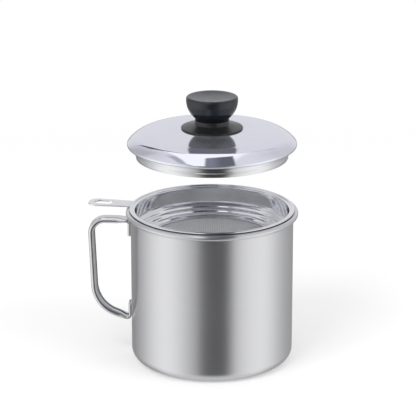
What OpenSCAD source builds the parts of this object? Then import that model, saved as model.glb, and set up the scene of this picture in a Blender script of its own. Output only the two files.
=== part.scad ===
// Bacon grease container: a steel pot with a loop handle, a lift-out
// strainer bowl with a woven mesh floor, and a domed lid with a knob.
// Millimetres, +Z up, origin at the centre of the pot's base, handles
// towards -X. The strainer is seated in the pot; the lid is shown lifted.

/* [Pot] */
// Outer diameter of the pot
pot_d = 120; // [100:1:150]
// Height of the pot over its rolled rim
pot_h = 114; // [100:1:150]
// Gauge of the pot's steel sheet
pot_gauge = 0.6; // [0.5:0.1:1]
// Outer radius between the wall and the base
pot_corner_r = 8.2; // [5:0.1:14]
// Outer radius of the rolled rim's section
pot_roll_r = 2.1; // [1.8:0.1:2.6]

/* [Pot handle] */
// How far the handle stands out from the wall
handle_reach = 32; // [30:1:40]
// Width of the handle's channel
handle_w = 10; // [9:0.5:14]
// Thickness of the handle's channel
handle_t = 4.4; // [3.6:0.1:6]
// Gauge of the strip that the channel is rolled from
handle_gauge = 1; // [0.8:0.1:1.2]
// Open seam along the channel's inner side
handle_seam = 3; // [2:0.5:4]
// From the rim's top down to the middle of the upper run
handle_drop = 9.5; // [8:0.5:14]
// Height above the base at which the lower run meets the wall
handle_foot_z = 27; // [22:1:36]
// Bend radius at the upper corner, at the channel's middle
handle_top_bend = 10.5; // [8:0.5:14]
// Bend radius of the lower sweep, at the channel's middle
handle_low_bend = 24; // [18:1:25]
// Inward lean of the grip, in degrees
handle_lean = 2.3; // [0:0.1:4]
// Fall of the lower run towards the wall, in degrees
handle_fall = 20; // [10:1:30]
// Length of the flattened ends welded to the wall
handle_pad_l = 13; // [10:1:18]
// Turn of the handle towards the back, in degrees
handle_turn = 5; // [0:1:12]

/* [Strainer] */
// Play between the strainer's wall and the inside of the pot
strainer_play = 2.2; // [1.4:0.1:2.8]
// Gauge of the strainer's steel sheet
strainer_gauge = 0.6; // [0.5:0.1:0.8]
// Depth of the strainer from its rim's top to its underside
strainer_depth = 23.4; // [20:0.2:34]
// Radius between the strainer's wall and its floor
strainer_corner_r = 10; // [7:0.5:12]
// How far that radius is pressed flatter at its middle
corner_press = 2.2; // [0:0.1:2.6]
// Height of the rings pressed round that radius
ring_h = 0.6; // [0.3:0.1:0.9]
// Number of rings pressed round that radius
ring_count = 3; // [2:1:4]
// Width of the rim's flange
flange_w = 3.7; // [3.3:0.1:4.2]
// Width of the fold along the flange's edge
hem_w = 1.9; // [1.6:0.1:2.1]
// Floor left between the mesh's ring and the radius to the wall
floor_margin = 0.6; // [0.5:0.1:4]

/* [Mesh and its ring] */
// Spacings of the mesh's strands across its opening
mesh_across = 18.75; // [13:0.25:19]
// Width of a strand
mesh_strand = 1; // [0.8:0.1:1.6]
// Thickness of the mesh
mesh_t = 0.8; // [0.6:0.1:1]
// Width of the ring that clamps the mesh
clamp_w = 2.8; // [2.4:0.1:3.8]
// Width of the ring's foot, which closes round the edge of the mesh
clamp_foot = 0.95; // [0.7:0.05:1.2]
// Thickness of that ring
clamp_t = 0.7; // [0.5:0.1:1]

/* [Strainer handle] */
// Length of the tab beyond the rim
tab_l = 32; // [26:1:44]
// Width of the tab at the rim
tab_root_w = 13; // [11:0.5:16]
// Width of the tab at its outer end
tab_end_w = 16; // [14:0.5:20]
// Thickness of the tab
tab_t = 1.2; // [0.8:0.1:1.2]
// Corner radius at the tab's outer end
tab_corner_r = 6.5; // [4:0.5:6.9]
// Length of the slot in the tab
slot_l = 14; // [10:0.5:16]
// Width of the slot in the tab
slot_w = 8; // [6:0.5:9]
// Steel left beyond the slot
slot_edge = 4.4; // [3.5:0.1:5]
// Turn of the tab towards the back, in degrees
tab_turn = 10; // [0:1:20]

/* [Lid] */
// How far the lid's edge stands out past the strainer's rim
lid_overhang = 1.1; // [0.6:0.1:1.8]
// Gauge of the lid's steel sheet
lid_gauge = 0.5; // [0.4:0.1:0.6]
// Outer radius of the lid's rolled edge
lid_roll_r = 1.9; // [1.7:0.1:2.2]
// Rise of the crown above the middle of the rolled edge
lid_rise = 12; // [10:0.5:15]
// Width of the rounded shoulder outside the flatter crown
shoulder_w = 16; // [14:0.5:22]
// Radius of the crown
crown_r = 440; // [300:10:600]
// Flat pressed in the crown for the knob
seat_d = 16; // [12:1:20]
// Width of the lip folded back under the lid's edge
lip_w = 2.2; // [1.9:0.1:2.5]
// Play between the lid's skirt and the strainer's wall
skirt_play = 0.7; // [0.4:0.1:1]
// Depth of the skirt below the lid's edge
skirt_h = 8; // [6:0.5:10]
// Height of the two ribs rolled round the skirt
rib_h = 0.3; // [0.1:0.1:0.3]

/* [Knob] */
// Largest diameter of the knob
knob_d = 37.8; // [34:0.2:44]
// Height of the knob above the lid's flat
knob_h = 23.4; // [22.4:0.2:28]
// Diameter of the knob's neck
neck_d = 25.2; // [22:0.2:27]
// Height of the neck above the lid's flat
neck_h = 6.2; // [5:0.1:7]
// Dish in the knob's top
knob_dish = 0.9; // [0.4:0.1:1.4]
// Rounding of the knob's top edge
knob_lip_r = 1.6; // [1:0.1:2]
// Diameter of the collar under the knob
collar_d = 45.2; // [40:0.2:50]
// Thickness of the collar at its edge
collar_edge = 1; // [0.8:0.1:1.4]
// Height of the collar's cone where it meets the neck
collar_h = 2.8; // [2.2:0.1:3.6]

/* [Knob fastening] */
// Diameter of the screw
screw_d = 5; // [4:0.5:6]
// Reach of the screw into the threaded insert
screw_grip = 8; // [6:0.5:9]
// Diameter of the screw's head
head_d = 9.2; // [8.5:0.1:10]
// Height of the screw's head
head_h = 2.6; // [2:0.1:3]
// Diameter of the threaded insert
insert_d = 9; // [8.5:0.1:10]
// Length of the threaded insert
insert_l = 11; // [10:0.5:12]
// Diameter of the washer
washer_d = 13; // [11:0.5:14]
// Thickness of the washer
washer_t = 1; // [0.8:0.1:1.4]

/* [Clearances and the places shown] */
// Gap between a lifted-on piece and its seat
seat_gap = 0.3; // [0.2:0.05:0.4]
// Radial clearance round the screw
screw_gap = 0.25; // [0.1:0.05:0.4]
// Height of the strainer above its seat, as shown
strainer_lift = 0; // [0:1:56]
// Height of the lid above its seat, as shown
lid_lift = 47; // [0:1:47]

/* [Hidden] */
$fn = 96;
cut = 1; // how far a cutting shape runs past what it cuts

// Pot
pot_r = pot_d / 2;
pot_in_r = pot_r - pot_gauge;
roll_mid_r = pot_roll_r - pot_gauge / 2;
roll_end = -120; // where the rolled rim stops, short of the wall

// Pot handle, in its own plane: [distance from the axis, height]
grip_r = pot_r + handle_reach - handle_t / 2;
handle_top_z = pot_h - handle_drop;
top_bend_c = [grip_r - handle_top_bend, handle_top_z - handle_top_bend];
sweep_end = -(90 - handle_fall);
sweep_drop = handle_low_bend * (sin(-sweep_end) - sin(handle_lean));
sweep_in = handle_low_bend * (cos(handle_lean) - cos(sweep_end));
grip_in = tan(handle_lean); // inward run of the grip per unit of height
grip_top = top_bend_c + handle_top_bend * [cos(handle_lean), -sin(handle_lean)];
// The sweep starts where the lower run then meets the wall at handle_foot_z.
grip_low_z = (handle_foot_z + sweep_drop
              + (grip_top[0] - grip_in * grip_top[1] - sweep_in - pot_r)
              * tan(handle_fall)) / (1 - grip_in * tan(handle_fall));
grip_low = [grip_top[0] - grip_in * (grip_top[1] - grip_low_z), grip_low_z];
low_bend_c = grip_low - handle_low_bend * [cos(handle_lean), -sin(handle_lean)];
// The ends are pressed flat, to two thicknesses of strip and the slack between
flat_t = 2 * handle_gauge + 0.4;
flat_w = handle_w + 0.57 * (handle_t - flat_t); // the strip keeps its length
flat_corner = 1.6;
foot_bend = 2.6; // mid radius at which an end turns along the wall
foot_x = pot_r + flat_t / 2 + 0.01 + foot_bend;
flare_l = 7; // over this length the flat end opens to the channel
top_foot_c = [foot_x, handle_top_z - foot_bend];
low_foot_c = [foot_x, handle_foot_z + (foot_x - pot_r) * tan(handle_fall)
              + foot_bend / cos(handle_fall)];

// Strainer
strainer_z = pot_h + seat_gap + strainer_lift; // underside of the flange
rim_top_z = strainer_z + 2 * strainer_gauge;
wall_r = pot_in_r - strainer_play;
wall_mid_r = wall_r - strainer_gauge / 2;
flange_r = wall_r + flange_w;
flange_mid_z = strainer_z + strainer_gauge / 2;
flange_bend = 1.2;
floor_mid_z = rim_top_z - strainer_depth + strainer_gauge / 2;
floor_top_z = floor_mid_z + strainer_gauge / 2;
clamp_r = wall_r - strainer_corner_r - floor_margin; // outside of the mesh's ring
clamp_in_r = clamp_r - clamp_w;
mesh_play = 0.05; // between the mesh's edge and the ring's foot
mesh_r = clamp_r - clamp_foot - mesh_play;
mesh_open_r = clamp_in_r - 0.2; // the bowl's edge shows inside the ring
mesh_top_z = floor_top_z + mesh_t;
mesh_pitch = 2 * mesh_open_r / mesh_across;
mesh_rows = ceil(mesh_across / 2);

// Lid; lid_z is the underside of its folded lip
lid_z = rim_top_z + seat_gap + lid_lift;
lid_r = flange_r + lid_overhang;
roll_c = [lid_r - lid_roll_r, lid_roll_r];
crown_edge = lid_r - shoulder_w;
crown_c = [0, lid_roll_r + lid_rise - crown_r];
crown_end = acos(crown_edge / crown_r);
crown_dir = [cos(crown_end), sin(crown_end)];
shoulder_top = crown_c + crown_r * crown_dir;
to_roll = roll_c - shoulder_top;
// The shoulder's radius, at which it is tangent to the crown and to the roll
shoulder_r = (lid_roll_r * lid_roll_r - to_roll * to_roll)
             / (2 * (to_roll * crown_dir + lid_roll_r));
shoulder_c = shoulder_top - shoulder_r * crown_dir;
from_shoulder = roll_c - shoulder_c;
shoulder_end = atan2(from_shoulder[1], from_shoulder[0]);
seat_r = seat_d / 2;
seat_angle = acos(seat_r / crown_r);
seat_z = crown_c[1] + crown_r * sin(seat_angle); // top of the flat
skirt_r = wall_r - strainer_gauge - skirt_play;
skirt_mid_r = skirt_r - rib_h - lid_gauge / 2;
skirt_bend = 1;

// Knob, with heights above the lid's flat
screw_hole_r = screw_d / 2 + screw_gap;
neck_r = neck_d / 2;
knob_r = knob_d / 2;
collar_r = collar_d / 2;
crown_at_collar = crown_c[1] + sqrt(crown_r * crown_r - collar_r * collar_r);
collar_foot = crown_at_collar - seat_z + 0.05;
insert_r = insert_d / 2;
groove_r = insert_r - 0.8;
groove_z = neck_h + insert_l / 3;
groove_l = insert_l / 3;
under_z = seat_z - lid_gauge; // underside of the lid's flat
knob_z = lid_z + seat_z;

steel = "#b9bcc0";
bright_steel = "#d4d6dc";
bakelite = "#2f3136";
brass = "#c9a24a";

// Points along an arc
function arc(c, r, from, to, n = 12) =
    [for (i = [0:n]) let (a = from + (to - from) * i / n) c + r * [cos(a), sin(a)]];

// Section of a sheet of gauge t that follows a path, with a tip of any shape
// between the two faces at the path's far end
function side(a, b) = let (d = (b - a) / norm(b - a)) [-d[1], d[0]];
function miter(p, i) =
    let (last = len(p) - 1,
         u = side(p[max(i - 1, 0)], p[max(i, 1)]),
         v = side(p[min(i, last - 1)], p[min(i + 1, last)]),
         m = (u + v) / norm(u + v))
    m / (m * u);
function once(p) = // a point that two arcs share is taken once
    [for (i = [0:len(p) - 1]) if (i == 0 || norm(p[i] - p[max(i - 1, 0)]) > 0.001) p[i]];
function sheet(path, t, tip = []) =
    let (p = once(path))
    concat([for (i = [0:len(p) - 1]) p[i] + miter(p, i) * t / 2], tip,
           [for (i = [len(p) - 1:-1:0]) p[i] - miter(p, i) * t / 2]);

// Turns a shape built along +X to the side of -X that faces the back
module at_side(turn) {
    rotate([0, 0, 180 - turn]) children();
}

module pot_body() {
    base_z = pot_gauge / 2;
    corner = pot_corner_r - pot_gauge / 2;
    wall = pot_r - pot_gauge / 2;
    roll_c = [wall + roll_mid_r, pot_h - pot_roll_r];
    path = concat(
        [[0, base_z]],
        arc([wall - corner, base_z + corner], corner, -90, 0),
        arc(roll_c, roll_mid_r, 180, roll_end, 24));
    color(steel)
        rotate_extrude()
            polygon(sheet(path, pot_gauge));
}

// The channel's section, as a strip rolled round and left open at the seam:
// x across the width, y outwards from the bend, bowed to the wall by bow
function channel(t, w, bow) =
    let (b = (w - handle_gauge) / 2, h = (t - handle_gauge) / 2, r = h - 0.05,
         strip = concat([[handle_seam / 2, -h]],
                        arc([b - r, r - h], r, -90, 0, 2), arc([b - r, h - r], r, 0, 90, 2),
                        [for (k = [1:-1:-1]) [k * b / 2, h]],
                        arc([r - b, h - r], r, 90, 180, 2), arc([r - b, r - h], r, 180, 270, 2),
                        [[-handle_seam / 2, -h]]))
    [for (q = sheet(strip, handle_gauge))
        q + [0, bow * (pot_r - sqrt(pot_r * pot_r - q[0] * q[0]))]];

// The channel at a distance x from the pot's axis, its edges drawn in by inset
function channel_at(x, inset) =
    let (u = min(max((x - foot_x) / flare_l, 0), 1), open = (1 - cos(180 * u)) / 2,
         bow = min(max((foot_x - x) / foot_bend, 0), 1))
    channel(flat_t + open * (handle_t - flat_t),
            flat_w + open * (handle_w - flat_w) - 2 * inset, bow);

// Points between two others, at the given shares of the way
function between(a, b, shares) = [for (s = shares) a + (b - a) * s];

// A channel carried along a path in the X-Z plane, mitred at each point. Its
// faces are triangles; inset draws its edges in at each point.
module sweep(path, inset) {
    last = len(path) - 1;
    sections = [for (i = [0:last]) channel_at(path[i][0], inset[i])];
    n = len(sections[0]);
    points = [for (i = [0:last], s = sections[i])
        let (q = path[i] + miter(path, i) * s[1]) [q[0], s[0], q[1]]];
    sides = [for (i = [0:last - 1], k = [0:n - 1], half = [0, 1])
        let (j = (k + 1) % n, a = i * n, b = a + n)
        half == 0 ? [a + k, a + j, b + j] : [a + k, b + j, b + k]];
    start = [for (k = [0:n / 2 - 2], half = [0, 1])
        let (j = n - 1 - k)
        half == 0 ? [k, j, j - 1] : [k, j - 1, k + 1]];
    end = [for (f = start) [for (k = [2:-1:0]) last * n + f[k]]];
    polyhedron(points, concat(sides, start, end), convexity = 6);
}

module pot_handle() {
    wall_x = foot_x - foot_bend;
    top_end = handle_top_z + flat_t / 2 - handle_pad_l;
    low_end = low_foot_c[1] - foot_bend - flat_t / 2 + handle_pad_l;
    corner_steps = [0, 0.12, 0.45, 1] * flat_corner;
    top_run = [top_foot_c + [0, foot_bend], top_bend_c + [0, handle_top_bend]];
    low_run = [low_bend_c + handle_low_bend * [cos(sweep_end), sin(sweep_end)],
               low_foot_c + foot_bend * [cos(sweep_end), sin(sweep_end)]];
    path = concat(
        [for (e = corner_steps) [wall_x, top_end + e]],
        arc(top_foot_c, foot_bend, 180, 90, 4),
        between(top_run[0], top_run[1], [0.15, 0.3, 0.45]),
        arc(top_bend_c, handle_top_bend, 90, -handle_lean, 7),
        arc(low_bend_c, handle_low_bend, -handle_lean, sweep_end, 7),
        between(low_run[0], low_run[1], [0.33, 0.66]),
        arc(low_foot_c, foot_bend, sweep_end, -180, 5),
        [for (k = [3:-1:0]) [wall_x, low_end - corner_steps[k]]]);
    // the corners of the flat ends are rounded
    inset = [for (q = path)
        let (e = min(norm(q - [wall_x, top_end]), norm(q - [wall_x, low_end]), flat_corner))
        flat_corner - sqrt(pow(flat_corner, 2) - pow(flat_corner - e, 2))];
    color(steel)
        at_side(handle_turn)
            sweep(path, inset);
}

// The radius between wall and floor, pressed flatter and with its rings
function ringed_corner(c, r, n) =
    [for (i = [0:n])
        let (a = -90 + 90 * i / n,
             ring = ring_h * (1 - cos(360 * ring_count * i / n)) / 2,
             press = corner_press * sin(180 * i / n))
        c + (r - press - ring) * [cos(a), sin(a)]];

module strainer_bowl() {
    corner = strainer_corner_r - strainer_gauge / 2;
    hem_in = flange_r - hem_w;
    hem_c = [flange_r - strainer_gauge, strainer_z + strainer_gauge];
    path = concat(
        [[mesh_open_r, floor_mid_z]],
        ringed_corner([wall_mid_r - corner, floor_mid_z + corner], corner,
                      10 * ring_count),
        arc([wall_mid_r + flange_bend, flange_mid_z - flange_bend],
            flange_bend, 180, 90, 6),
        [[hem_in, flange_mid_z]]);
    // the edge, folded back over the flange and pressed flat
    hem = concat([[hem_in, rim_top_z]], arc(hem_c, strainer_gauge, 90, -90, 8));
    color(bright_steel)
        rotate_extrude()
            polygon(sheet(path, strainer_gauge, hem));
}

// A flat net, its strands running at 45 degrees to the handles
module strainer_mesh() {
    gap = mesh_pitch - mesh_strand;
    color(steel)
        translate([0, 0, floor_top_z])
            linear_extrude(mesh_t)
                difference() {
                    circle(mesh_r);
                    intersection() {
                        circle(mesh_open_r - mesh_strand / 2);
                        rotate(45)
                            for (i = [-mesh_rows:mesh_rows], j = [-mesh_rows:mesh_rows])
                                if (norm([i, j]) * mesh_pitch < mesh_open_r - mesh_strand)
                                    translate([i, j] * mesh_pitch)
                                        square(gap, center = true);
                    }
                }
}

// Clamps the edge of the mesh against the bowl's floor
module mesh_clamp_ring() {
    round_r = clamp_t / 2;
    color(bright_steel)
        translate([0, 0, mesh_top_z])
            rotate_extrude() {
                translate([clamp_in_r + round_r, 0])
                    square([clamp_w - clamp_t, clamp_t]);
                translate([clamp_in_r + round_r, round_r])
                    circle(round_r, $fn = 24);
                translate([clamp_r - clamp_foot, -mesh_t])
                    square([clamp_foot, mesh_t + clamp_t]);
            }
}

module strainer_handle() {
    root = flange_r - 2;
    tip = flange_r + tab_l;
    slot_c = tip - slot_edge - slot_l / 2;
    half_end = tab_end_w / 2;
    outline = concat(
        [[root, -tab_root_w / 2]],
        arc([tip - tab_corner_r, tab_corner_r - half_end], tab_corner_r, -90, 0, 10),
        arc([tip - tab_corner_r, half_end - tab_corner_r], tab_corner_r, 0, 90, 10),
        [[root, tab_root_w / 2]]);
    color(steel)
        at_side(tab_turn)
            translate([0, 0, rim_top_z - tab_t])
                linear_extrude(tab_t)
                    difference() {
                        polygon(outline);
                        circle(flange_r);
                        translate([slot_c, 0])
                            square([slot_l - slot_w, slot_w], center = true);
                        for (s = [-1, 1])
                            translate([slot_c + s * (slot_l - slot_w) / 2, 0])
                                circle(slot_w / 2, $fn = 48);
                    }
}

module lid_cover() {
    mid = lid_gauge / 2;
    path = concat(
        [[screw_hole_r, seat_z - mid]],
        arc(crown_c, crown_r - mid, seat_angle, crown_end, 6),
        arc(shoulder_c, shoulder_r - mid, crown_end, shoulder_end, 14),
        arc(roll_c, lid_roll_r - mid, shoulder_end, -90, 14),
        [[roll_c[0] - lip_w, mid]]);
    color(bright_steel)
        translate([0, 0, lid_z])
            rotate_extrude()
                polygon(sheet(path, lid_gauge));
}

// Two ribs rolled round the skirt, as an outward swell along its depth
function rib(t) = rib_h * pow(sin(360 * t), 2);

module lid_skirt() {
    flange_z = 1.5 * lid_gauge; // it lies on the cover's folded lip
    low_z = -skirt_h;
    bend_z = flange_z - skirt_bend;
    steps = 20;
    path = concat(
        [[roll_c[0] - 0.1, flange_z]],
        arc([skirt_mid_r + skirt_bend, bend_z], skirt_bend, 90, 180, 6),
        [for (i = [1:steps])
            [skirt_mid_r + rib(i / steps), bend_z + (low_z - bend_z) * i / steps]]);
    color(bright_steel)
        translate([0, 0, lid_z])
            rotate_extrude()
                polygon(sheet(path, lid_gauge));
}

// Stands on its rim and on a boss, with a hollow between the two
module knob_collar() {
    hollow_z = collar_foot + collar_edge;
    rim_in = collar_r - 2;
    color(bakelite)
        translate([0, 0, knob_z])
            rotate_extrude()
                polygon(concat(
                    [[screw_hole_r, 0], [seat_r, 0], [seat_r, hollow_z],
                     [rim_in, hollow_z], [rim_in, collar_foot]],
                    arc([collar_r - collar_edge / 2, collar_foot + collar_edge / 2],
                        collar_edge / 2, -90, 90, 6),
                    arc([neck_r + 1.5, collar_h + 1.5], 1.5, -100, -180, 5),
                    [[neck_r, neck_h - 0.4], [neck_r - 0.4, neck_h],
                     [screw_hole_r, neck_h]]));
}

// The insert's outside, with the groove that keeps it in the knob
insert_outline = [
    [insert_r, neck_h], [insert_r, groove_z], [groove_r, groove_z],
    [groove_r, groove_z + groove_l], [insert_r, groove_z + groove_l],
    [insert_r, neck_h + insert_l]];

module knob_grip() {
    // the cup's side is an arc from the lip down to the top of the neck
    side_top = knob_h - knob_lip_r - 1;
    side_in = knob_r - (neck_r - 0.3);
    side_drop = side_top - (neck_h + 1.15);
    side_r = (side_in * side_in + side_drop * side_drop) / (2 * side_in);
    side_c = [knob_r - side_r, side_top];
    low = -asin(side_drop / side_r);
    lip_c = [knob_r - knob_lip_r, side_c[1] + 1];
    dish_edge = lip_c[0] - 0.4;
    dish_r = (dish_edge * dish_edge + knob_dish * knob_dish) / (2 * knob_dish);
    dish_a = asin(dish_edge / dish_r);
    color(bakelite)
        translate([0, 0, knob_z])
            rotate_extrude()
                polygon(concat(
                    [[0, neck_h + insert_l]],
                    [for (i = [len(insert_outline) - 1:-1:0]) insert_outline[i]],
                    [[neck_r - 0.9, neck_h], [neck_r - 0.3, neck_h + 0.6]],
                    arc(side_c, side_r, low, 0, 16),
                    arc(lip_c, knob_lip_r, 0, 80, 8),
                    arc([0, knob_h - knob_dish + dish_r], dish_r,
                        -90 + dish_a, -90, 8)));
}

module knob_insert() {
    color(brass)
        translate([0, 0, knob_z])
            difference() {
                rotate_extrude()
                    polygon(concat([[0, neck_h]], insert_outline,
                                   [[0, neck_h + insert_l]]));
                translate([0, 0, neck_h - cut])
                    cylinder(h = insert_l - 1 + cut, r = screw_d / 2 + 0.05);
            }
}

// A pan-head screw, driven up through the lid from inside
module knob_screw() {
    head_z = under_z - washer_t;
    shank_l = seat_z - head_z + neck_h + screw_grip;
    slot_z = 1.5;
    color(steel)
        translate([0, 0, lid_z + head_z]) {
            difference() {
                rotate_extrude()
                    polygon(concat(
                        [[0, -head_h]],
                        arc([head_d / 2 - head_h / 2, -head_h / 2], head_h / 2, -90, 0, 6),
                        [[head_d / 2, 0], [0, 0]]));
                for (a = [0, 90])
                    rotate([0, 0, a])
                        translate([-2.4, -0.55, -head_h - cut])
                            cube([4.8, 1.1, slot_z + cut]);
            }
            cylinder(h = shank_l, r = screw_d / 2);
        }
}

module screw_washer() {
    color(steel)
        translate([0, 0, lid_z + under_z - washer_t])
            difference() {
                cylinder(h = washer_t, r = washer_d / 2);
                translate([0, 0, -cut])
                    cylinder(h = washer_t + 2 * cut, r = screw_hole_r);
            }
}

pot_body();
pot_handle();
strainer_bowl();
strainer_mesh();
mesh_clamp_ring();
strainer_handle();
lid_cover();
lid_skirt();
knob_collar();
knob_grip();
knob_insert();
knob_screw();
screw_washer();
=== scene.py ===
"""Looks of the bacon grease container: a steel pot with a loop handle, a lift-out strainer with
a woven floor, and a domed lid with a knob. Sizes are in mm and named as in the part's source."""
import math
import bmesh
import bpy
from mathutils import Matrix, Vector


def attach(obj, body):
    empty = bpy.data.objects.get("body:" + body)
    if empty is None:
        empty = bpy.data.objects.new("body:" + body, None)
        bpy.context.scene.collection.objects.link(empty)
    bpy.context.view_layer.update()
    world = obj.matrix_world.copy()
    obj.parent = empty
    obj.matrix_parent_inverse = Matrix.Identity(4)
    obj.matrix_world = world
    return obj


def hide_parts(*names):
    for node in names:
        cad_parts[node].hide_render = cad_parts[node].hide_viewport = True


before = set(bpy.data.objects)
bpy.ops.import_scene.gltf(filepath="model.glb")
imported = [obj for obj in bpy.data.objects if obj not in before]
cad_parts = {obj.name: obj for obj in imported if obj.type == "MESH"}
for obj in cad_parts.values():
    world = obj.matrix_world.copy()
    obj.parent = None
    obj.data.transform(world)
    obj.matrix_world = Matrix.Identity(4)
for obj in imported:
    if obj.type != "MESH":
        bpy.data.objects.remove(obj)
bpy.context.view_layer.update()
scene = bpy.context.scene
MM = 0.001

# ---------------------------------------------------------------- sizes of the pot
POT_R = 60.0
POT_H = 114.0
POT_GAUGE = 0.6
POT_CORNER_R = 8.2
POT_ROLL_R = 2.1
ROLL_END = -120                 # degrees at which the rolled rim stops, short of the wall
ROLL_IN = 0.035                 # keeps the rounder roll inside the solid's box

HANDLE_REACH = 32.0
HANDLE_W = 10.0
HANDLE_T = 4.4
HANDLE_GAUGE = 1.0
HANDLE_SEAM = 3.0
HANDLE_DROP = 9.5
HANDLE_FOOT_Z = 27.0
HANDLE_TOP_BEND = 10.5
HANDLE_LOW_BEND = 24.0
HANDLE_LEAN = 2.3               # degrees
HANDLE_FALL = 20.0              # degrees
HANDLE_PAD_L = 13.0
HANDLE_TURN = 5                 # degrees
FLAT_T = 2 * HANDLE_GAUGE + 0.4                 # the ends are pressed flat,
FLAT_W = HANDLE_W + 0.57 * (HANDLE_T - FLAT_T)  # and the strip keeps its length
FLAT_CORNER = 1.6
FLARE_L = 7.0                   # over this length the flat end opens to the channel
FOOT_BEND = 2.6
FOOT_X = POT_R + FLAT_T / 2 + 0.01 + FOOT_BEND

# ---------------------------------------------------------------- sizes of the strainer
SEAT_GAP = 0.3
STRAINER_PLAY = 2.2
STRAINER_GAUGE = 0.6
STRAINER_DEPTH = 23.4
STRAINER_CORNER_R = 10.0
CORNER_PRESS = 2.2
RING_H = 0.6
RING_COUNT = 3
FLANGE_W = 3.7
FLANGE_BEND = 1.2
HEM_W = 1.9
FLOOR_MARGIN = 0.6
WALL_R = POT_R - POT_GAUGE - STRAINER_PLAY
FLANGE_R = WALL_R + FLANGE_W
STRAINER_Z = POT_H + SEAT_GAP                   # underside of the flange
RIM_Z = STRAINER_Z + 2 * STRAINER_GAUGE
FLOOR_Z = RIM_Z - STRAINER_DEPTH + STRAINER_GAUGE       # top of the floor

CLAMP_W = 2.8
CLAMP_T = 0.7
CLAMP_FOOT = 0.95
CLAMP_SOFT = 0.25               # rounding of the ring's outer edge
CLAMP_R = WALL_R - STRAINER_CORNER_R - FLOOR_MARGIN
MESH_T = 0.8
MESH_R = CLAMP_R - CLAMP_FOOT - 0.05
MESH_OPEN_R = CLAMP_R - CLAMP_W - 0.2
WEAVE_PITCH = 1.2
WEAVE_MARGIN = 0.25             # from the ends of the wires to the edge of the mesh
WIRE_R = 0.19
WIRE_SIDES = 4

TAB_L = 32.0
TAB_ROOT_W = 13.0
TAB_END_W = 16.0
TAB_T = 1.2
TAB_CORNER_R = 6.5
TAB_SOFT = 0.35                 # rounding that the press leaves along the edges
TAB_TURN = 10                   # degrees
SLOT_L = 14.0
SLOT_W = 8.0
SLOT_EDGE = 4.4

# ---------------------------------------------------------------- sizes of the lid and its knob
LID_LIFT = 47.0                 # how far the lid is lifted, as shown
LID_OVERHANG = 1.1
LID_GAUGE = 0.5
LID_ROLL_R = 1.9
LID_RISE = 12.0
LIP_W = 2.2
SHOULDER_W = 16.0
CROWN_R = 440.0
SEAT_R = 8.0                    # flat pressed in the crown for the knob
SKIRT_PLAY = 0.7
SKIRT_H = 8.0
SKIRT_BEND = 1.0
RIB_H = 0.3
LID_Z = RIM_Z + SEAT_GAP + LID_LIFT             # underside of the folded lip
LID_R = FLANGE_R + LID_OVERHANG
ROLL_C = (LID_R - LID_ROLL_R, LID_ROLL_R)
CROWN_C = (0, LID_ROLL_R + LID_RISE - CROWN_R)
CROWN_EDGE = LID_R - SHOULDER_W
SEAT_Z = CROWN_C[1] + math.sqrt(CROWN_R ** 2 - SEAT_R ** 2)

KNOB_Z = LID_Z + SEAT_Z
KNOB_R = 18.9
KNOB_H = 23.4
KNOB_SIDE_R = 17.0
KNOB_LIP_R = 1.6
KNOB_DISH = 0.9
NECK_R = 12.6
NECK_H = 6.2
COLLAR_R = 22.6
COLLAR_EDGE = 1.0
COLLAR_H = 2.8
COLLAR_BEND = 1.5
SCREW_HOLE_R = 2.75
INSERT_R = 4.5
INSERT_L = 11.0
GROOVE_R = INSERT_R - 0.8


# ---------------------------------------------------------------- sections
def polar(c, r, a):
    return (c[0] + r * math.cos(math.radians(a)), c[1] + r * math.sin(math.radians(a)))


def arc(c, r, a0, a1, n):
    return [polar(c, r, a0 + (a1 - a0) * i / n) for i in range(n + 1)]


def between(a, b, n):
    """The n - 1 points that part the way from a to b into n steps."""
    return [(a[0] + (b[0] - a[0]) * i / n, a[1] + (b[1] - a[1]) * i / n) for i in range(1, n)]


def miter(path, i):
    """The shift of point i that moves both of its lines sideways by 1."""
    def side(a, b):
        d = Vector((b[0] - a[0], b[1] - a[1])).normalized()
        return Vector((-d.y, d.x))

    last = len(path) - 1
    u = side(path[max(i - 1, 0)], path[max(i, 1)])
    v = side(path[min(i, last - 1)], path[min(i + 1, last)])
    m = (u + v).normalized()
    return m / m.dot(u)


def sheet(path, gauge, tip=()):
    """Closed section of a sheet that follows a path, with any tip at the path's end."""
    path = [p for i, p in enumerate(path) if i == 0 or math.dist(p, path[i - 1]) > 0.001]
    over, under = [], []
    for i, p in enumerate(path):
        m = miter(path, i) * gauge / 2
        over.append((p[0] + m.x, p[1] + m.y))
        under.append((p[0] - m.x, p[1] - m.y))
    return over + list(tip) + under[::-1]


# ---------------------------------------------------------------- meshes
def finish_mesh(name, verts, faces, sharp_deg=32):
    """A mesh object in metres, shaded smooth, with the edges over sharp_deg kept sharp."""
    mesh = bpy.data.meshes.new(name)
    mesh.from_pydata([(x * MM, y * MM, z * MM) for x, y, z in verts], [], faces)
    bm = bmesh.new()
    bm.from_mesh(mesh)
    bmesh.ops.recalc_face_normals(bm, faces=bm.faces)
    limit = math.radians(sharp_deg)
    for face in bm.faces:
        face.smooth = True
    for edge in bm.edges:
        edge.smooth = len(edge.link_faces) == 2 and edge.calc_face_angle() < limit
    bm.to_mesh(mesh)
    bm.free()
    obj = bpy.data.objects.new(name, mesh)
    scene.collection.objects.link(obj)
    return obj


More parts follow.
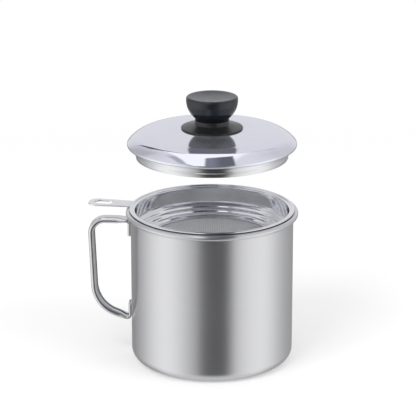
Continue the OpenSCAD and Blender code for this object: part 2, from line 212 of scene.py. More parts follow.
def revolve(name, section, z=0.0, sides=256, sharp_deg=32):
    """A closed section (radius, height) turned about the Z axis; points on the axis are poles."""
    verts, rows, faces = [], [], []
    for r, h in section:
        start = len(verts)
        if r < 1e-6:
            verts.append((0, 0, h + z))
            rows.append([start] * sides)
        else:
            verts += [(*p, h + z) for p in arc((0, 0), r, 0, 360, sides)[:-1]]
            rows.append(range(start, start + sides))
    for i, low in enumerate(rows):
        high = rows[(i + 1) % len(rows)]
        if low[0] == low[1] and high[0] == high[1]:
            continue
        for k in range(sides):
            j = (k + 1) % sides
            faces.append(list(dict.fromkeys((low[k], low[j], high[j], high[k]))))
    return finish_mesh(name, verts, faces, sharp_deg)


def add_tube(verts, faces, rings):
    """Adds rings of points and joins each to the next; returns the first and last ring's start."""
    first, n = len(verts), len(rings[0])
    for ring in rings:
        verts += ring
    last = len(verts) - n
    for a in range(first, last, n):
        for k in range(n):
            j = (k + 1) % n
            faces.append([a + k, a + j, a + n + j, a + n + k])
    return first, last


def at_side(x, y, z, turn):
    """A point built along +X, turned to the side of -X that faces the back."""
    a = math.radians(180 - turn)
    return (x * math.cos(a) - y * math.sin(a), x * math.sin(a) + y * math.cos(a), z)


# ---------------------------------------------------------------- materials
def rgba(red, green, blue):
    return (red, green, blue, 1.0)


class Graph:
    """Short-hand for building one node tree."""

    def __init__(self, tree):
        self.tree = tree
        tree.nodes.clear()

    def add(self, kind, ins=None, **props):
        """A new node with its properties set, and its inputs linked or given a value."""
        node = self.tree.nodes.new(kind)
        for name, value in props.items():
            setattr(node, name, value)
        for key, value in (ins or {}).items():
            if isinstance(value, bpy.types.NodeSocket):
                self.tree.links.new(value, node.inputs[key])
            else:
                node.inputs[key].default_value = value
        return node

    def math(self, op, a, b=0.0):
        return self.add("ShaderNodeMath", {0: a, 1: b}, operation=op).outputs[0]

    def total(self, first, *rest):
        for part in rest:
            first = self.math("ADD", first, part)
        return first

    def product(self, first, *rest):
        for part in rest:
            first = self.math("MULTIPLY", first, part)
        return first

    def less(self, a, b):
        return self.math("SUBTRACT", a, b)

    def swing(self, v, amount):
        """A value from 0 to 1, turned to one from -amount to amount."""
        return self.math("MULTIPLY", self.less(v, 0.5), amount * 2)

    def remap(self, v, a0, a1, b0, b1):
        return self.add("ShaderNodeMapRange", {0: v, 1: a0, 2: a1, 3: b0, 4: b1}).outputs[0]

    def rise(self, v, a, b):
        """0 where v is under a, and 1 where it is over b."""
        return self.remap(v, a, b, 0.0, 1.0)

    def fall(self, v, a, b):
        """1 where v is under a, and 0 where it is over b."""
        return self.remap(v, a, b, 1.0, 0.0)

    def vec(self, op, a, b=(0, 0, 0)):
        return self.add("ShaderNodeVectorMath", {0: a, 1: b}, operation=op)

    def scaled(self, v, factor):
        ins = {0: v, "Scale": factor}
        return self.add("ShaderNodeVectorMath", ins, operation="SCALE").outputs[0]

    def split(self, v):
        return self.add("ShaderNodeSeparateXYZ", {0: v}).outputs

    def from_axis(self, place):
        """The part of a place or direction that points away from the Z axis."""
        return self.vec("MULTIPLY", place, (1, 1, 0)).outputs[0]

    def ramp(self, v, stops):
        """Greys at the given positions, with a straight run from each to the next."""
        node = self.add("ShaderNodeValToRGB", {0: v})
        elements = node.color_ramp.elements
        while len(elements) < len(stops):
            elements.new(0.5)
        for element, (position, grey) in zip(elements, stops):
            element.position = position
            element.color = rgba(grey, grey, grey)
        return node.outputs[0]

    def noise(self, vector, scale=1.0, detail=2.0, rough=0.5):
        ins = {"Vector": vector, "Scale": scale, "Detail": detail, "Roughness": rough}
        return self.add("ShaderNodeTexNoise", ins).outputs[0]

    def mix(self, share, a, b):
        return self.add("ShaderNodeMix", {0: share, 6: a, 7: b}, data_type="RGBA").outputs[2]


def material(name):
    mat = bpy.data.materials.new(name)
    mat.use_nodes = True
    return mat, Graph(mat.node_tree)


def ring_coords(g, place, around, across):
    """Coordinates that run round the axis slowly and across it quickly, without a seam."""
    out = g.from_axis(place)
    turn = g.scaled(g.vec("NORMALIZE", out).outputs[0], around)
    far = g.vec("LENGTH", out).outputs["Value"]
    line = g.product(g.total(far, g.split(place)[2]), across)
    up = g.add("ShaderNodeCombineXYZ", {2: line}).outputs[0]
    return g.vec("ADD", turn, up).outputs[0]


def inward_painted_light(g):
    """1 on the faces that are turned towards the axis and lie under the pot's rim, where the steel
    gets its painted light.
    """
    starts_z, full_z = POT_H - 3.5, POT_H - 5.5
    co = g.add("ShaderNodeTexCoord").outputs
    out = g.vec("NORMALIZE", g.from_axis(co["Object"])).outputs[0]
    facing = g.vec("DOT_PRODUCT", out, co["Normal"]).outputs["Value"]
    deep = g.fall(g.split(co["Object"])[2], full_z * MM, starts_z * MM)
    return g.product(g.fall(facing, -0.5, -0.1), deep)


LINES_AROUND = 7.0              # how fast the fine lines change round the axis
CLOUD_SCALE = 28.0              # of the slow change of tone over a whole piece
INNER_PAINTED_LIGHT = 1.28            # how much lighter the painted light makes the faces turned inwards


def steel(name, color, rough, spread=0.05, tone=0.04, smudge=0.03, across=900.0, straight=None,
          aniso=0.0, lines=0.0, haze=0.0, inner_painted_light=0.0):
    """Stainless steel with fine lines round the axis.

    spread varies the roughness, and tone and smudge vary the brightness. A greater across makes
    the lines finer, and lines is how deep they are. straight scales the noise along each axis
    instead, for lines that don't run round the axis. haze makes the steel less metallic, and the
    painted light inside does so again on the faces that are turned inwards, and paints them
    lighter.
    """
    mat, g = material(name)
    place = g.add("ShaderNodeTexCoord").outputs["Object"]
    if straight:
        fine_place = g.vec("MULTIPLY", place, straight).outputs[0]
        wide_place = g.scaled(fine_place, 0.2)
    else:
        fine_place = ring_coords(g, place, LINES_AROUND, across)
        wide_place = ring_coords(g, place, LINES_AROUND * 0.5, across * 0.16)
    fine = g.noise(fine_place, detail=3.0, rough=0.6)
    wide = g.noise(wide_place)
    cloud = g.noise(place, scale=CLOUD_SCALE, detail=3.0, rough=0.55)
    shade = g.total(g.swing(fine, tone), g.swing(wide, tone), g.swing(cloud, smudge), 1.0)
    base = g.scaled(color, shade)
    metal = 1.0 - haze
    if inner_painted_light:
        # painted light: the faces turned inwards get a lighter, less metallic copy of the steel
        inside = inward_painted_light(g)
        base = g.mix(inside, base, g.scaled(base, INNER_PAINTED_LIGHT))
        metal = g.less(metal, g.product(inside, inner_painted_light))
    ins = {"Base Color": base, "Metallic": metal,
           "Roughness": g.total(g.swing(fine, spread), g.swing(cloud, spread), rough)}
    if aniso:
        ins["Anisotropic"] = aniso
        ins["Anisotropic Rotation"] = 0.25      # a quarter turn, so it spreads across the lines
        ins["Tangent"] = g.add("ShaderNodeTangent", direction_type="RADIAL", axis="Z").outputs[0]
    if lines:
        bump = {"Strength": lines, "Distance": 0.05 * MM, "Height": fine}
        ins["Normal"] = g.add("ShaderNodeBump", bump).outputs[0]
    bsdf = g.add("ShaderNodeBsdfPrincipled", ins)
    g.add("ShaderNodeOutputMaterial", {0: bsdf.outputs[0]})
    return mat


def bakelite(name, color, rough):
    """Moulded phenolic: a faint mottle, fine wear specks and a slightly uneven gloss."""
    mat, g = material(name)
    place = g.add("ShaderNodeTexCoord").outputs["Object"]
    mottle = g.noise(place, scale=160.0, detail=4.0, rough=0.6)
    speck = g.noise(place, scale=1500.0)
    shade = g.total(g.remap(mottle, 0.3, 0.7, 0.86, 1.12), g.remap(speck, 0.62, 0.75, 0.0, 0.15))
    gloss = g.total(g.remap(mottle, 0.3, 0.7, rough - 0.04, rough + 0.05),
                    g.remap(speck, 0.4, 0.7, -0.02, 0.04))
    bump = g.add("ShaderNodeBump", {"Strength": 0.03, "Distance": 0.1 * MM, "Height": mottle})
    bsdf = g.add("ShaderNodeBsdfPrincipled", {"Base Color": g.scaled(color, shade),
                                              "Roughness": gloss, "IOR": 1.5,
                                              "Normal": bump.outputs[0]})
    g.add("ShaderNodeOutputMaterial", {0: bsdf.outputs[0]})
    return mat


pot_mat = steel("pot_steel", (0.67, 0.672, 0.685), 0.30, spread=0.03, aniso=0.8, lines=0.2,
                tone=0.015, across=1400.0, smudge=0.012, haze=0.045, inner_painted_light=0.24)
handle_mat = steel("handle_steel", (0.70, 0.70, 0.71), 0.20, spread=0.02, lines=0.03,
                   tone=0.012, straight=(260.0, 260.0, 60.0), smudge=0.015)
strainer_mat = steel("strainer_steel", (0.82, 0.825, 0.84), 0.11, spread=0.025, aniso=0.3,
                     lines=0.06, tone=0.015, across=1100.0, smudge=0.015)
mesh_mat = steel("mesh_wire", (0.91, 0.92, 0.93), 0.22, tone=0.06,
                 straight=(700.0, 700.0, 700.0), haze=0.45)
tab_mat = steel("tab_steel", (0.90, 0.90, 0.905), 0.28, spread=0.02, tone=0.008,
                straight=(30.0, 500.0, 30.0), smudge=0.01, haze=0.1)
lid_mat = steel("lid_steel", (0.785, 0.795, 0.865), 0.06, spread=0.02, tone=0.02,
                across=500.0, smudge=0.02, haze=0.09)
skirt_mat = steel("skirt_steel", (0.74, 0.745, 0.76), 0.15, spread=0.03, tone=0.02)
brass_mat = steel("insert_brass", (0.78, 0.60, 0.32), 0.25, tone=0.03, across=1500.0)
screw_mat = steel("screw_steel", (0.62, 0.63, 0.65), 0.28, tone=0.03, across=1500.0)
knob_mat = bakelite("knob_bakelite", (0.012, 0.015, 0.021), 0.24)
collar_mat = bakelite("collar_bakelite", (0.013, 0.013, 0.014), 0.30)


def dress(obj, mat, body, slot, *nodes):
    """Gives a new piece its material and its body, and hides the CAD nodes it stands for; slot is
    not used.
    """
    obj.data.materials.clear()
    obj.data.materials.append(mat)
    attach(obj, body)
    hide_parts(*nodes)


# ---------------------------------------------------------------- pot
def make_pot():
    corner = POT_CORNER_R - POT_GAUGE / 2
    wall = POT_R - POT_GAUGE / 2
    base_z = POT_GAUGE / 2
    roll = POT_ROLL_R - POT_GAUGE / 2
    path = [(r, base_z) for r in (0, 12, 26, 40)]       # the rings between keep the faces even
    path += arc((wall - corner, base_z + corner), corner, -90, 0, 14)
    path += [(wall, z) for z in (20, 40, 60, 80, 100)]
    path += arc((wall + roll - ROLL_IN, POT_H - POT_ROLL_R), roll, 180, ROLL_END, 30)
    return revolve("pot_shell", sheet(path, POT_GAUGE), sides=288)


# ---------------------------------------------------------------- pot handle
def channel(t, w, bow):
    """Section of a strip rolled to a channel with an open seam, bowed to the wall by bow."""
    half_w, half_t = (w - HANDLE_GAUGE) / 2, (t - HANDLE_GAUGE) / 2
    r = half_t - 0.05
    flat = half_w - r
    strip = [(HANDLE_SEAM / 2, -half_t)]
    strip += arc((flat, r - half_t), r, -90, 0, 5) + arc((flat, half_t - r), r, 0, 90, 5)
    strip += [(k * flat / 4, half_t) for k in (3, 2, 1, 0, -1, -2, -3)]
    strip += arc((-flat, half_t - r), r, 90, 180, 5) + arc((-flat, r - half_t), r, 180, 270, 5)
    strip += [(-HANDLE_SEAM / 2, -half_t)]
    return [(x, y + bow * (POT_R - math.sqrt(POT_R ** 2 - x * x)))
            for x, y in sheet(strip, HANDLE_GAUGE)]


def channel_at(x, inset):
    """The section at a distance x from the pot's axis, its edges drawn in by inset."""
    u = min(max((x - FOOT_X) / FLARE_L, 0), 1)
    opened = (1 - math.cos(math.pi * u)) / 2
    bow = min(max((FOOT_X - x) / FOOT_BEND, 0), 1)
    return channel(FLAT_T + opened * (HANDLE_T - FLAT_T),
                   FLAT_W + opened * (HANDLE_W - FLAT_W) - 2 * inset, bow)


def handle_path():
    """The channel's middle line, (distance from the axis, height), and its two ends."""
    lean, fall = math.radians(HANDLE_LEAN), math.radians(HANDLE_FALL)
    grip_r = POT_R + HANDLE_REACH - HANDLE_T / 2
    top_z = POT_H - HANDLE_DROP
    top_c = (grip_r - HANDLE_TOP_BEND, top_z - HANDLE_TOP_BEND)
    sweep_end = -(90 - HANDLE_FALL)
    sweep_drop = HANDLE_LOW_BEND * (math.cos(fall) - math.sin(lean))
    sweep_in = HANDLE_LOW_BEND * (math.cos(lean) - math.sin(fall))
    grip_in = math.tan(lean)                    # inward run of the grip per unit of height
    grip_top = polar(top_c, HANDLE_TOP_BEND, -HANDLE_LEAN)
    # the sweep starts where the lower run then meets the wall at HANDLE_FOOT_Z
    grip_low_z = (HANDLE_FOOT_Z + sweep_drop
                  + (grip_top[0] - grip_in * grip_top[1] - sweep_in - POT_R) * math.tan(fall)
                  ) / (1 - grip_in * math.tan(fall))
    grip_low = (grip_top[0] - grip_in * (grip_top[1] - grip_low_z), grip_low_z)
    low_c = polar(grip_low, HANDLE_LOW_BEND, 180 - HANDLE_LEAN)
    top_foot = (FOOT_X, top_z - FOOT_BEND)
    low_foot = (FOOT_X, HANDLE_FOOT_Z + (FOOT_X - POT_R) * math.tan(fall)
                + FOOT_BEND / math.cos(fall))
    wall_x = FOOT_X - FOOT_BEND
    top_end = (wall_x, top_z + FLAT_T / 2 - HANDLE_PAD_L)
    low_end = (wall_x, low_foot[1] - FOOT_BEND - FLAT_T / 2 + HANDLE_PAD_L)
    steps = [share * FLAT_CORNER for share in (0, 0.05, 0.15, 0.3, 0.5, 0.75, 1)]
    path = [(wall_x, top_end[1] + step) for step in steps]
    path += arc(top_foot, FOOT_BEND, 180, 90, 8)
    path += between((FOOT_X, top_z), (top_c[0], top_z), 14)
    path += arc(top_c, HANDLE_TOP_BEND, 90, -HANDLE_LEAN, 20)
    path += between(grip_top, grip_low, 6)
    path += arc(low_c, HANDLE_LOW_BEND, -HANDLE_LEAN, sweep_end, 24)
    path += between(path[-1], polar(low_foot, FOOT_BEND, sweep_end), 8)
    path += arc(low_foot, FOOT_BEND, sweep_end, -180, 10)
    path += [(wall_x, low_end[1] - step) for step in steps[::-1]]
    return path, top_end, low_end


def make_handle():
    path, *ends = handle_path()
    rings = []
    for i, q in enumerate(path):
        near = min(math.dist(q, ends[0]), math.dist(q, ends[1]), FLAT_CORNER)
        inset = FLAT_CORNER - math.sqrt(FLAT_CORNER ** 2 - (FLAT_CORNER - near) ** 2)
        m = miter(path, i)
        rings.append([at_side(q[0] + m.x * y, x, q[1] + m.y * y, HANDLE_TURN)
                      for x, y in channel_at(q[0], inset)])
    verts, faces = [], []
    first, last = add_tube(verts, faces, rings)
    n = len(rings[0])
    for k in range(n // 2 - 1):                 # the faces that close the two ends
        j = n - 1 - k
        faces.append([first + v for v in (k, j, j - 1, k + 1)])
        faces.append([last + v for v in (k + 1, j - 1, j, k)])
    return finish_mesh("handle_channel", verts, faces, sharp_deg=40)


# ---------------------------------------------------------------- strainer
def ringed_corner(c, r, n):
    """The radius between wall and floor, pressed flatter and with its rings."""
    points = []
    for i in range(n + 1):
        ring = RING_H * (1 - math.cos(2 * math.pi * RING_COUNT * i / n)) / 2
        press = CORNER_PRESS * math.sin(math.pi * i / n)
        points.append(polar(c, r - press - ring, -90 + 90 * i / n))
    return points


def make_bowl():
    wall = WALL_R - STRAINER_GAUGE / 2
    floor = FLOOR_Z - STRAINER_GAUGE / 2
    corner = STRAINER_CORNER_R - STRAINER_GAUGE / 2
    flange = STRAINER_Z + STRAINER_GAUGE / 2
    hem_in = FLANGE_R - HEM_W
    path = [(MESH_OPEN_R, floor)]
    path += ringed_corner((wall - corner, floor + corner), corner, 30 * RING_COUNT)
    path += [(wall, floor + corner + step) for step in (3, 6, 9)]
    path += arc((wall + FLANGE_BEND, flange - FLANGE_BEND), FLANGE_BEND, 180, 90, 8)
    path += [(hem_in, flange)]
    hem_c = (FLANGE_R - STRAINER_GAUGE, STRAINER_Z + STRAINER_GAUGE)
    hem = [(hem_in, RIM_Z)] + arc(hem_c, STRAINER_GAUGE, 90, -90, 12)
    return revolve("strainer_shell", sheet(path, STRAINER_GAUGE, hem))


def wire_rings(family, row, steps):
    """Rings of points along one wire, which goes over and under the wires that it crosses."""
    mid = FLOOR_Z + MESH_T / 2
    rings = []
    for s in range(-steps, steps + 1):
        along = s * WEAVE_PITCH / 2
        lift = WIRE_R * math.cos((s / 2 + row + family) * math.pi)
        ring = []
        for aside, up in arc((row * WEAVE_PITCH, mid + lift), WIRE_R, 0, 360, WIRE_SIDES)[:-1]:
            u, v = (aside, along) if family else (along, aside)
            ring.append(((u - v) * math.sqrt(0.5), (u + v) * math.sqrt(0.5), up))
        rings.append(ring)
    return rings


def make_weave():
    """Plain weave of fine wires, in two families at 45 degrees to the handles."""
    verts, faces = [], []
    reach = MESH_R - WEAVE_MARGIN
    rows = int(reach / WEAVE_PITCH)
    for family in (0, 1):
        for row in range(-rows, rows + 1):
            half = math.sqrt(reach ** 2 - (row * WEAVE_PITCH) ** 2)
            steps = int(half / (WEAVE_PITCH / 2))
            if steps < 2:
                continue
            first, last = add_tube(verts, faces, wire_rings(family, row, steps))
            faces.append([first + k for k in range(WIRE_SIDES)][::-1])
            faces.append([last + k for k in range(WIRE_SIDES)])
    return finish_mesh("mesh_weave", verts, faces, sharp_deg=100)


def make_clamp():
    """The ring that clamps the mesh's edge; heights are above the mesh."""
    round_r = CLAMP_T / 2
    bevel = 0.08
    foot = CLAMP_R - CLAMP_FOOT
    section = [(CLAMP_R, -MESH_T), (CLAMP_R, CLAMP_T - CLAMP_SOFT),
               (CLAMP_R - bevel, CLAMP_T - bevel), (CLAMP_R - CLAMP_SOFT, CLAMP_T)]
    section += arc((CLAMP_R - CLAMP_W + round_r, round_r), round_r, 90, 270, 10)
    section += [(foot, 0), (foot, -MESH_T)]
    return revolve("mesh_ring", section, z=FLOOR_Z + MESH_T)


def tab_outlines():
    """The tab's outline, hollowed to the flange's edge at its root, and its slot."""
    corner_x = FLANGE_R + TAB_L - TAB_CORNER_R
    corner_y = TAB_END_W / 2 - TAB_CORNER_R
    outline = arc((corner_x, -corner_y), TAB_CORNER_R, -90, 0, 16)
    outline += arc((corner_x, corner_y), TAB_CORNER_R, 0, 90, 16)
    for i in range(13):
        y = TAB_ROOT_W / 2 - TAB_ROOT_W * i / 12
        outline.append((math.sqrt(FLANGE_R ** 2 - y * y), y))
    slot_x = FLANGE_R + TAB_L - SLOT_EDGE - SLOT_L / 2
    end_x = (SLOT_L - SLOT_W) / 2
    slot = arc((slot_x + end_x, 0), SLOT_W / 2, -90, 90, 16)
    slot += arc((slot_x - end_x, 0), SLOT_W / 2, 90, 270, 16)
    return outline, slot


def make_tab():
    """Flat tab with a slot, its edges rolled over by the press."""
    curve = bpy.data.curves.new("tab_outline", "CURVE")
    curve.dimensions = "2D"
    curve.fill_mode = "BOTH"
    curve.extrude = (TAB_T / 2 - TAB_SOFT) * MM
    curve.bevel_depth = TAB_SOFT * MM
    curve.bevel_resolution = 3
    curve.offset = -TAB_SOFT * MM
    for outline in tab_outlines():
        spline = curve.splines.new("POLY")
        spline.points.add(len(outline) - 1)
        for point, (x, y) in zip(spline.points, outline):
            point.co = (x * MM, y * MM, 0, 1)
        spline.use_cyclic_u = True
    holder = bpy.data.objects.new("tab_holder", curve)
    scene.collection.objects.link(holder)
    depsgraph = bpy.context.evaluated_depsgraph_get()
    flat = bpy.data.meshes.new_from_object(holder.evaluated_get(depsgraph))
    verts = []
    for vertex in flat.vertices:
        x, y, z = vertex.co / MM
        verts.append(at_side(x, y, z + RIM_Z - TAB_T / 2, TAB_TURN))
    faces = [list(p.vertices) for p in flat.polygons]
    bpy.data.objects.remove(holder)
    obj = finish_mesh("strainer_tab", verts, faces, sharp_deg=40)
    bm = bmesh.new()
    bm.from_mesh(obj.data)
    bmesh.ops.remove_doubles(bm, verts=bm.verts, dist=1e-6)
    bmesh.ops.recalc_face_normals(bm, faces=bm.faces)
    bm.to_mesh(obj.data)
    bm.free()
    return obj


# ---------------------------------------------------------------- lid
def make_lid():
    mid = LID_GAUGE / 2
    crown_end = math.degrees(math.acos(CROWN_EDGE / CROWN_R))
    crown_dir = Vector(polar((0, 0), 1, crown_end))
    # the shoulder's radius, at which it is tangent to the crown and to the roll
    top = Vector(CROWN_C) + CROWN_R * crown_dir
    to_roll = Vector(ROLL_C) - top
    shoulder_r = ((LID_ROLL_R ** 2 - to_roll.dot(to_roll))
                  / (2 * (to_roll.dot(crown_dir) + LID_ROLL_R)))
    shoulder_c = top - shoulder_r * crown_dir
    from_shoulder = Vector(ROLL_C) - shoulder_c
    shoulder_end = math.degrees(math.atan2(from_shoulder.y, from_shoulder.x))
    seat_angle = math.degrees(math.acos(SEAT_R / CROWN_R))
    path = [(SCREW_HOLE_R, SEAT_Z - mid)]
    path += arc(CROWN_C, CROWN_R - mid, seat_angle, crown_end, 24)
    path += arc(shoulder_c, shoulder_r - mid, crown_end, shoulder_end, 28)
    path += arc(ROLL_C, LID_ROLL_R - mid, shoulder_end, -90, 24)
    path += [(ROLL_C[0] - LIP_W, mid)]
    return revolve("lid_dome", sheet(path, LID_GAUGE), z=LID_Z, sides=320, sharp_deg=30)


def make_skirt():
    """The ring under the lid, with two ribs rolled round it."""
    wall = WALL_R - STRAINER_GAUGE - SKIRT_PLAY - RIB_H - LID_GAUGE / 2
    flange_z = 1.5 * LID_GAUGE                  # it lies on the cover's folded lip
    bend_z = flange_z - SKIRT_BEND
    steps = 60
    path = [(ROLL_C[0] - 0.1, flange_z)]
    path += arc((wall + SKIRT_BEND, bend_z), SKIRT_BEND, 90, 180, 8)
    for i in range(1, steps + 1):
        rib = RIB_H * math.sin(2 * math.pi * i / steps) ** 2
        path.append((wall + rib, bend_z - (SKIRT_H + bend_z) * i / steps))
    return revolve("lid_ring", sheet(path, LID_GAUGE), z=LID_Z)


def make_collar():
    """The collar under the knob, with a hollow between its rim and its boss."""
    foot = CROWN_C[1] + math.sqrt(CROWN_R ** 2 - COLLAR_R ** 2) - SEAT_Z + 0.05
    hollow = foot + COLLAR_EDGE
    rim_in = COLLAR_R - 2
    edge_r = COLLAR_EDGE / 2
    section = [(SCREW_HOLE_R, 0), (SEAT_R, 0), (SEAT_R, hollow), (rim_in, hollow), (rim_in, foot)]
    section += arc((COLLAR_R - edge_r, foot + edge_r), edge_r, -90, 90, 8)
    section += arc((NECK_R + COLLAR_BEND, COLLAR_H + COLLAR_BEND), COLLAR_BEND, -100, -180, 8)
    section += [(NECK_R, NECK_H - 0.4), (NECK_R - 0.12, NECK_H - 0.12), (NECK_R - 0.4, NECK_H),
                (SCREW_HOLE_R, NECK_H)]
    return revolve("knob_base", section, z=KNOB_Z, sides=192)


def make_knob():
    """The cup with its dished top, hollow where the threaded insert sits."""
    side_c = (KNOB_R - KNOB_SIDE_R, KNOB_H - KNOB_LIP_R - 1)
    low = -math.degrees(math.acos((NECK_R - 0.3 - side_c[0]) / KNOB_SIDE_R))
    lip_c = (KNOB_R - KNOB_LIP_R, side_c[1] + 1)
    dish_edge = lip_c[0] - 0.4
    dish_r = (dish_edge ** 2 + KNOB_DISH ** 2) / (2 * KNOB_DISH)
    dish_a = math.degrees(math.asin(dish_edge / dish_r))
    dish_z = KNOB_H - KNOB_DISH
    insert_top = NECK_H + INSERT_L
    groove_low, groove_high = NECK_H + INSERT_L / 3, NECK_H + 2 * INSERT_L / 3
    section = [(0, insert_top), (INSERT_R, insert_top), (INSERT_R, groove_high),
               (GROOVE_R, groove_high), (GROOVE_R, groove_low), (INSERT_R, groove_low),
               (INSERT_R, NECK_H), (NECK_R - 0.9, NECK_H), (NECK_R - 0.3, NECK_H + 0.6)]
    section += arc(side_c, KNOB_SIDE_R, low, 0, 36)[1:]
    section += arc(lip_c, KNOB_LIP_R, 0, 80, 14)
    section += arc((0, dish_z + dish_r), dish_r, -90 + dish_a, -90, 14)[1:-1] + [(0, dish_z)]
    return revolve("knob_cup", section, z=KNOB_Z, sides=192)


dress(make_pot(), pot_mat, "pot", "pot_steel", "pot_body")
dress(make_handle(), handle_mat, "pot", "handle_steel", "pot_handle")
dress(make_bowl(), strainer_mat, "strainer", "strainer_steel", "strainer_bowl")
dress(make_weave(), mesh_mat, "strainer", "mesh_wire", "strainer_mesh")
dress(make_clamp(), strainer_mat, "strainer", "strainer_steel", "mesh_clamp_ring")
dress(make_tab(), tab_mat, "strainer", "tab_steel", "strainer_handle")
dress(make_lid(), lid_mat, "lid", "lid_steel", "lid_cover")
dress(make_skirt(), skirt_mat, "lid", "lid_steel", "lid_skirt")
dress(make_collar(), collar_mat, "lid", "collar_bakelite", "knob_collar")
dress(make_knob(), knob_mat, "lid", "knob_bakelite", "knob_grip")

# the knob's fastening keeps its solids
for name, mat in (("knob_insert", brass_mat), ("knob_screw", screw_mat),
                  ("screw_washer", screw_mat)):
    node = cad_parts[name]
    node.data.materials.clear()
    node.data.materials.append(mat)


# ---------------------------------------------------------------- floor
def make_floor():
    """Pale floor that keeps the shadow near the object and is plain white farther off."""
    half = 6.0
    near_r, far_r = 0.28, 0.75                  # between these radii it turns to plain white
    mesh = bpy.data.meshes.new("floor")
    mesh.from_pydata([(-half, -half, 0), (half, -half, 0), (half, half, 0), (-half, half, 0)],
                     [], [(0, 1, 2, 3)])
    floor = bpy.data.objects.new("floor", mesh)
    scene.collection.objects.link(floor)
    floor.location.z = -0.3 * MM                # clear of the pot's base
    mat, g = material("floor_pale")
    rays = g.add("ShaderNodeLightPath").outputs
    seen = g.math("MAXIMUM", rays["Is Camera Ray"], rays["Is Glossy Ray"])
    seen = g.math("MAXIMUM", seen, rays["Is Transmission Ray"])
    pale = g.add("ShaderNodeBsdfDiffuse", {0: rgba(0.90, 0.90, 0.90)})
    glow = g.add("ShaderNodeEmission", {0: rgba(1, 1, 1), 1: g.product(seen, 0.16)})
    near = g.add("ShaderNodeAddShader", {0: pale.outputs[0], 1: glow.outputs[0]})
    far = g.add("ShaderNodeEmission", {0: rgba(1, 1, 1), 1: 1.0})
    place = g.add("ShaderNodeTexCoord").outputs["Object"]
    away = g.rise(g.vec("LENGTH", place).outputs["Value"], near_r, far_r)
    fade = g.add("ShaderNodeMixShader", {0: g.product(away, seen), 1: near.outputs[0],
                                         2: far.outputs[0]})
    g.add("ShaderNodeOutputMaterial", {0: fade.outputs[0]})
    mesh.materials.append(mat)
    floor.visible_glossy = False                # mirrors see the studio's panels there


# ---------------------------------------------------------------- studio that mirrors see
# Its panels are placed by the direction (x, y, z) of a ray; the camera stands towards -Y.
BANDS = (                                       # degrees round from the camera, brightness
    (-180, 0.32), (-146, 0.32), (-123, 0.56), (-107, 0.78), (-93, 1.00), (-76, 1.16),
    (-60, 1.12), (-45, 0.90), (-31, 0.64), (-22, 0.42), (-15, 0.13), (-6, 0.055),
    (10, 0.055), (19, 0.08), (26, 0.32), (34, 0.74), (45, 0.93), (60, 1.08), (78, 1.14),
    (93, 0.99), (107, 0.77), (123, 0.56), (146, 0.40), (180, 0.32))
SIGHT_Y = 0.954                                 # of the direction in which the camera looks
GROUND = rgba(0.80, 0.80, 0.81)
TENT = rgba(0.79, 0.79, 0.82)
TENT_SIDE = rgba(0.65, 0.65, 0.68)
TENT_CORNER = rgba(0.47, 0.47, 0.50)
PANEL = rgba(1.14, 1.14, 1.16)
PANEL_EDGE = rgba(0.02, 0.02, 0.04)
PANEL_EDGE_RIGHT = rgba(0.08, 0.08, 0.11)
SEAM = rgba(0.28, 0.31, 0.38)
GAP_LEFT = rgba(0.15, 0.16, 0.21)
GAP_RIGHT = rgba(0.05, 0.055, 0.08)
PATCH = rgba(0.075, 0.078, 0.105)


def tent(g, x, y, z):
    """Soft bands round the sides, a pale ground, and a bluish grey tent above the bands."""
    turn = g.math("ARCTAN2", x, g.product(y, -1.0))
    around = g.ramp(g.rise(turn, -math.pi, math.pi),
                    [(degrees / 360 + 0.5, grey) for degrees, grey in BANDS])
    around = g.mix(g.fall(z, -0.84, -0.74), around, GROUND)
    side = g.product(g.rise(g.math("ABSOLUTE", x), 0.40, 0.62), g.rise(y, 0.0, 0.4))
    corner = g.product(g.fall(x, -0.66, -0.50), g.rise(y, 0.28, 0.42))
    cloth = g.mix(corner, g.mix(side, TENT, TENT_SIDE), TENT_CORNER)
    higher = g.product(g.fall(y, -0.05, 0.15), 0.22)    # the tent's edge on the camera's side
    return g.mix(g.rise(g.less(z, higher), -0.14, -0.02), around, cloth)


def overhead(g, view, x, y, z):
    """A white panel overhead with its dark edge and seam, and what stands in front of it."""
    over = g.rise(z, 0.12, 0.20)
    bend = g.math("MAXIMUM", 0.0, g.less(g.math("ABSOLUTE", x), 0.27))
    past = g.less(y, g.total(0.34, bend))       # beyond the panel's far edge
    panel = g.product(over, g.fall(past, -0.015, 0.01), g.rise(x, -0.42, -0.39),
                      g.fall(x, 0.27, 0.37))
    view = g.mix(panel, view, PANEL)
    edge = g.product(over, g.rise(past, -0.02, 0.0))
    thicker = g.product(g.fall(x, -0.48, -0.38), 0.13)
    left = g.product(edge, g.rise(x, -0.53, -0.50), g.fall(x, -0.36, -0.22),
                     g.fall(g.less(past, thicker), 0.03, 0.05))
    view = g.mix(left, view, PANEL_EDGE)
    right = g.product(edge, g.fall(past, 0.03, 0.05), g.rise(x, 0.30, 0.38),
                      g.fall(x, 0.50, 0.53))
    view = g.mix(g.product(right, 0.35), view, PANEL_EDGE_RIGHT)
    seam = g.product(over, g.fall(y, 0.12, 0.28), g.rise(x, -0.55, -0.50),
                     g.fall(x, -0.44, -0.40))
    view = g.mix(g.product(seam, 0.75), view, SEAM)
    # the gap that the camera leaves; lean is the same along a line that is upright in the lid
    lean = g.math("DIVIDE", x, g.less(SIGHT_Y, y))
    gap = g.product(over, g.fall(g.less(y, g.product(lean, 0.45)), 0.02, 0.07),
                    g.rise(lean, -0.10, -0.07), g.fall(lean, 0.27, 0.30))
    view = g.mix(gap, view, g.mix(g.rise(lean, 0.0, 0.12), GAP_LEFT, GAP_RIGHT))
    # a dark patch that goes on from the knob's reflection and widens towards it
    slim = g.product(lean, g.math("MINIMUM", 1.0, g.less(1.216, g.product(y, 0.6))))
    patch = g.product(g.rise(z, 0.42, 0.45), g.rise(past, 0.0, 0.02),
                      g.rise(slim, -0.345, -0.315), g.fall(slim, 0.33, 0.36))
    return g.mix(patch, view, PATCH)


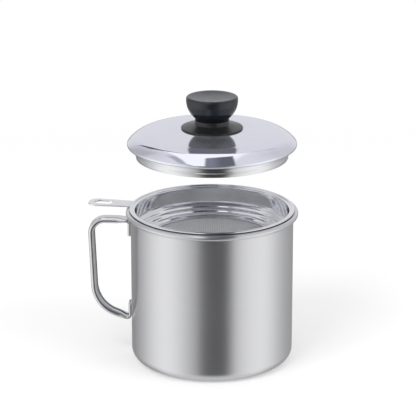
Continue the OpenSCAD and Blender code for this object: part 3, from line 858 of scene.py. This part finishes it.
def make_world():
    """White for the camera, plain for diffuse light, and the studio's panels for mirrors."""
    world = bpy.data.worlds.new("studio")
    scene.world = world
    world.use_nodes = True
    g = Graph(world.node_tree)
    x, y, z = g.split(g.add("ShaderNodeTexCoord").outputs["Generated"])
    view = overhead(g, tent(g, x, y, z), x, y, z)
    rays = g.add("ShaderNodeLightPath").outputs
    direct = g.math("MAXIMUM", rays["Is Camera Ray"], rays["Is Transmission Ray"])
    plain = g.mix(direct, rgba(0.72, 0.72, 0.72), rgba(1, 1, 1))
    color = g.mix(rays["Is Glossy Ray"], plain, view)
    background = g.add("ShaderNodeBackground", {0: color, 1: 1.0})
    g.add("ShaderNodeOutputWorld", {0: background.outputs[0]})


# ---------------------------------------------------------------- lamps and camera
def make_lamp(name, place, width, watts):
    """A soft square lamp that points at the middle of the object and isn't seen in mirrors."""
    data = bpy.data.lights.new(name, "AREA")
    data.shape = "SQUARE"
    data.size = width
    data.energy = watts
    lamp = bpy.data.objects.new(name, data)
    scene.collection.objects.link(lamp)
    lamp.location = place
    aim = Vector((0, 0, 0.12)) - Vector(place)
    lamp.rotation_euler = aim.to_track_quat("-Z", "Y").to_euler()
    lamp.visible_glossy = False


def make_camera():
    """The view of the photograph: its elevation, its distance and its focal length in pixels."""
    elevation = math.radians(17.5)
    distance = 1.5
    focal_px, photo_px = 2036.0, 416.0
    aim = Vector((-0.00295, 0.0, 0.1151))
    data = bpy.data.cameras.new("camera")
    data.sensor_width = 36.0
    data.lens = focal_px * data.sensor_width / photo_px
    data.clip_end = 50.0
    camera = bpy.data.objects.new("camera", data)
    scene.collection.objects.link(camera)
    camera.location = aim + distance * Vector((0, -math.cos(elevation), math.sin(elevation)))
    camera.rotation_euler = (math.pi / 2 - elevation, 0, 0)
    scene.camera = camera


make_floor()
make_world()
make_lamp("key", (-0.7, -0.9, 1.3), 0.9, 9.0)
make_lamp("fill", (0.9, -0.5, 1.0), 0.8, 4.0)
make_camera()
scene.view_settings.view_transform = "Standard"
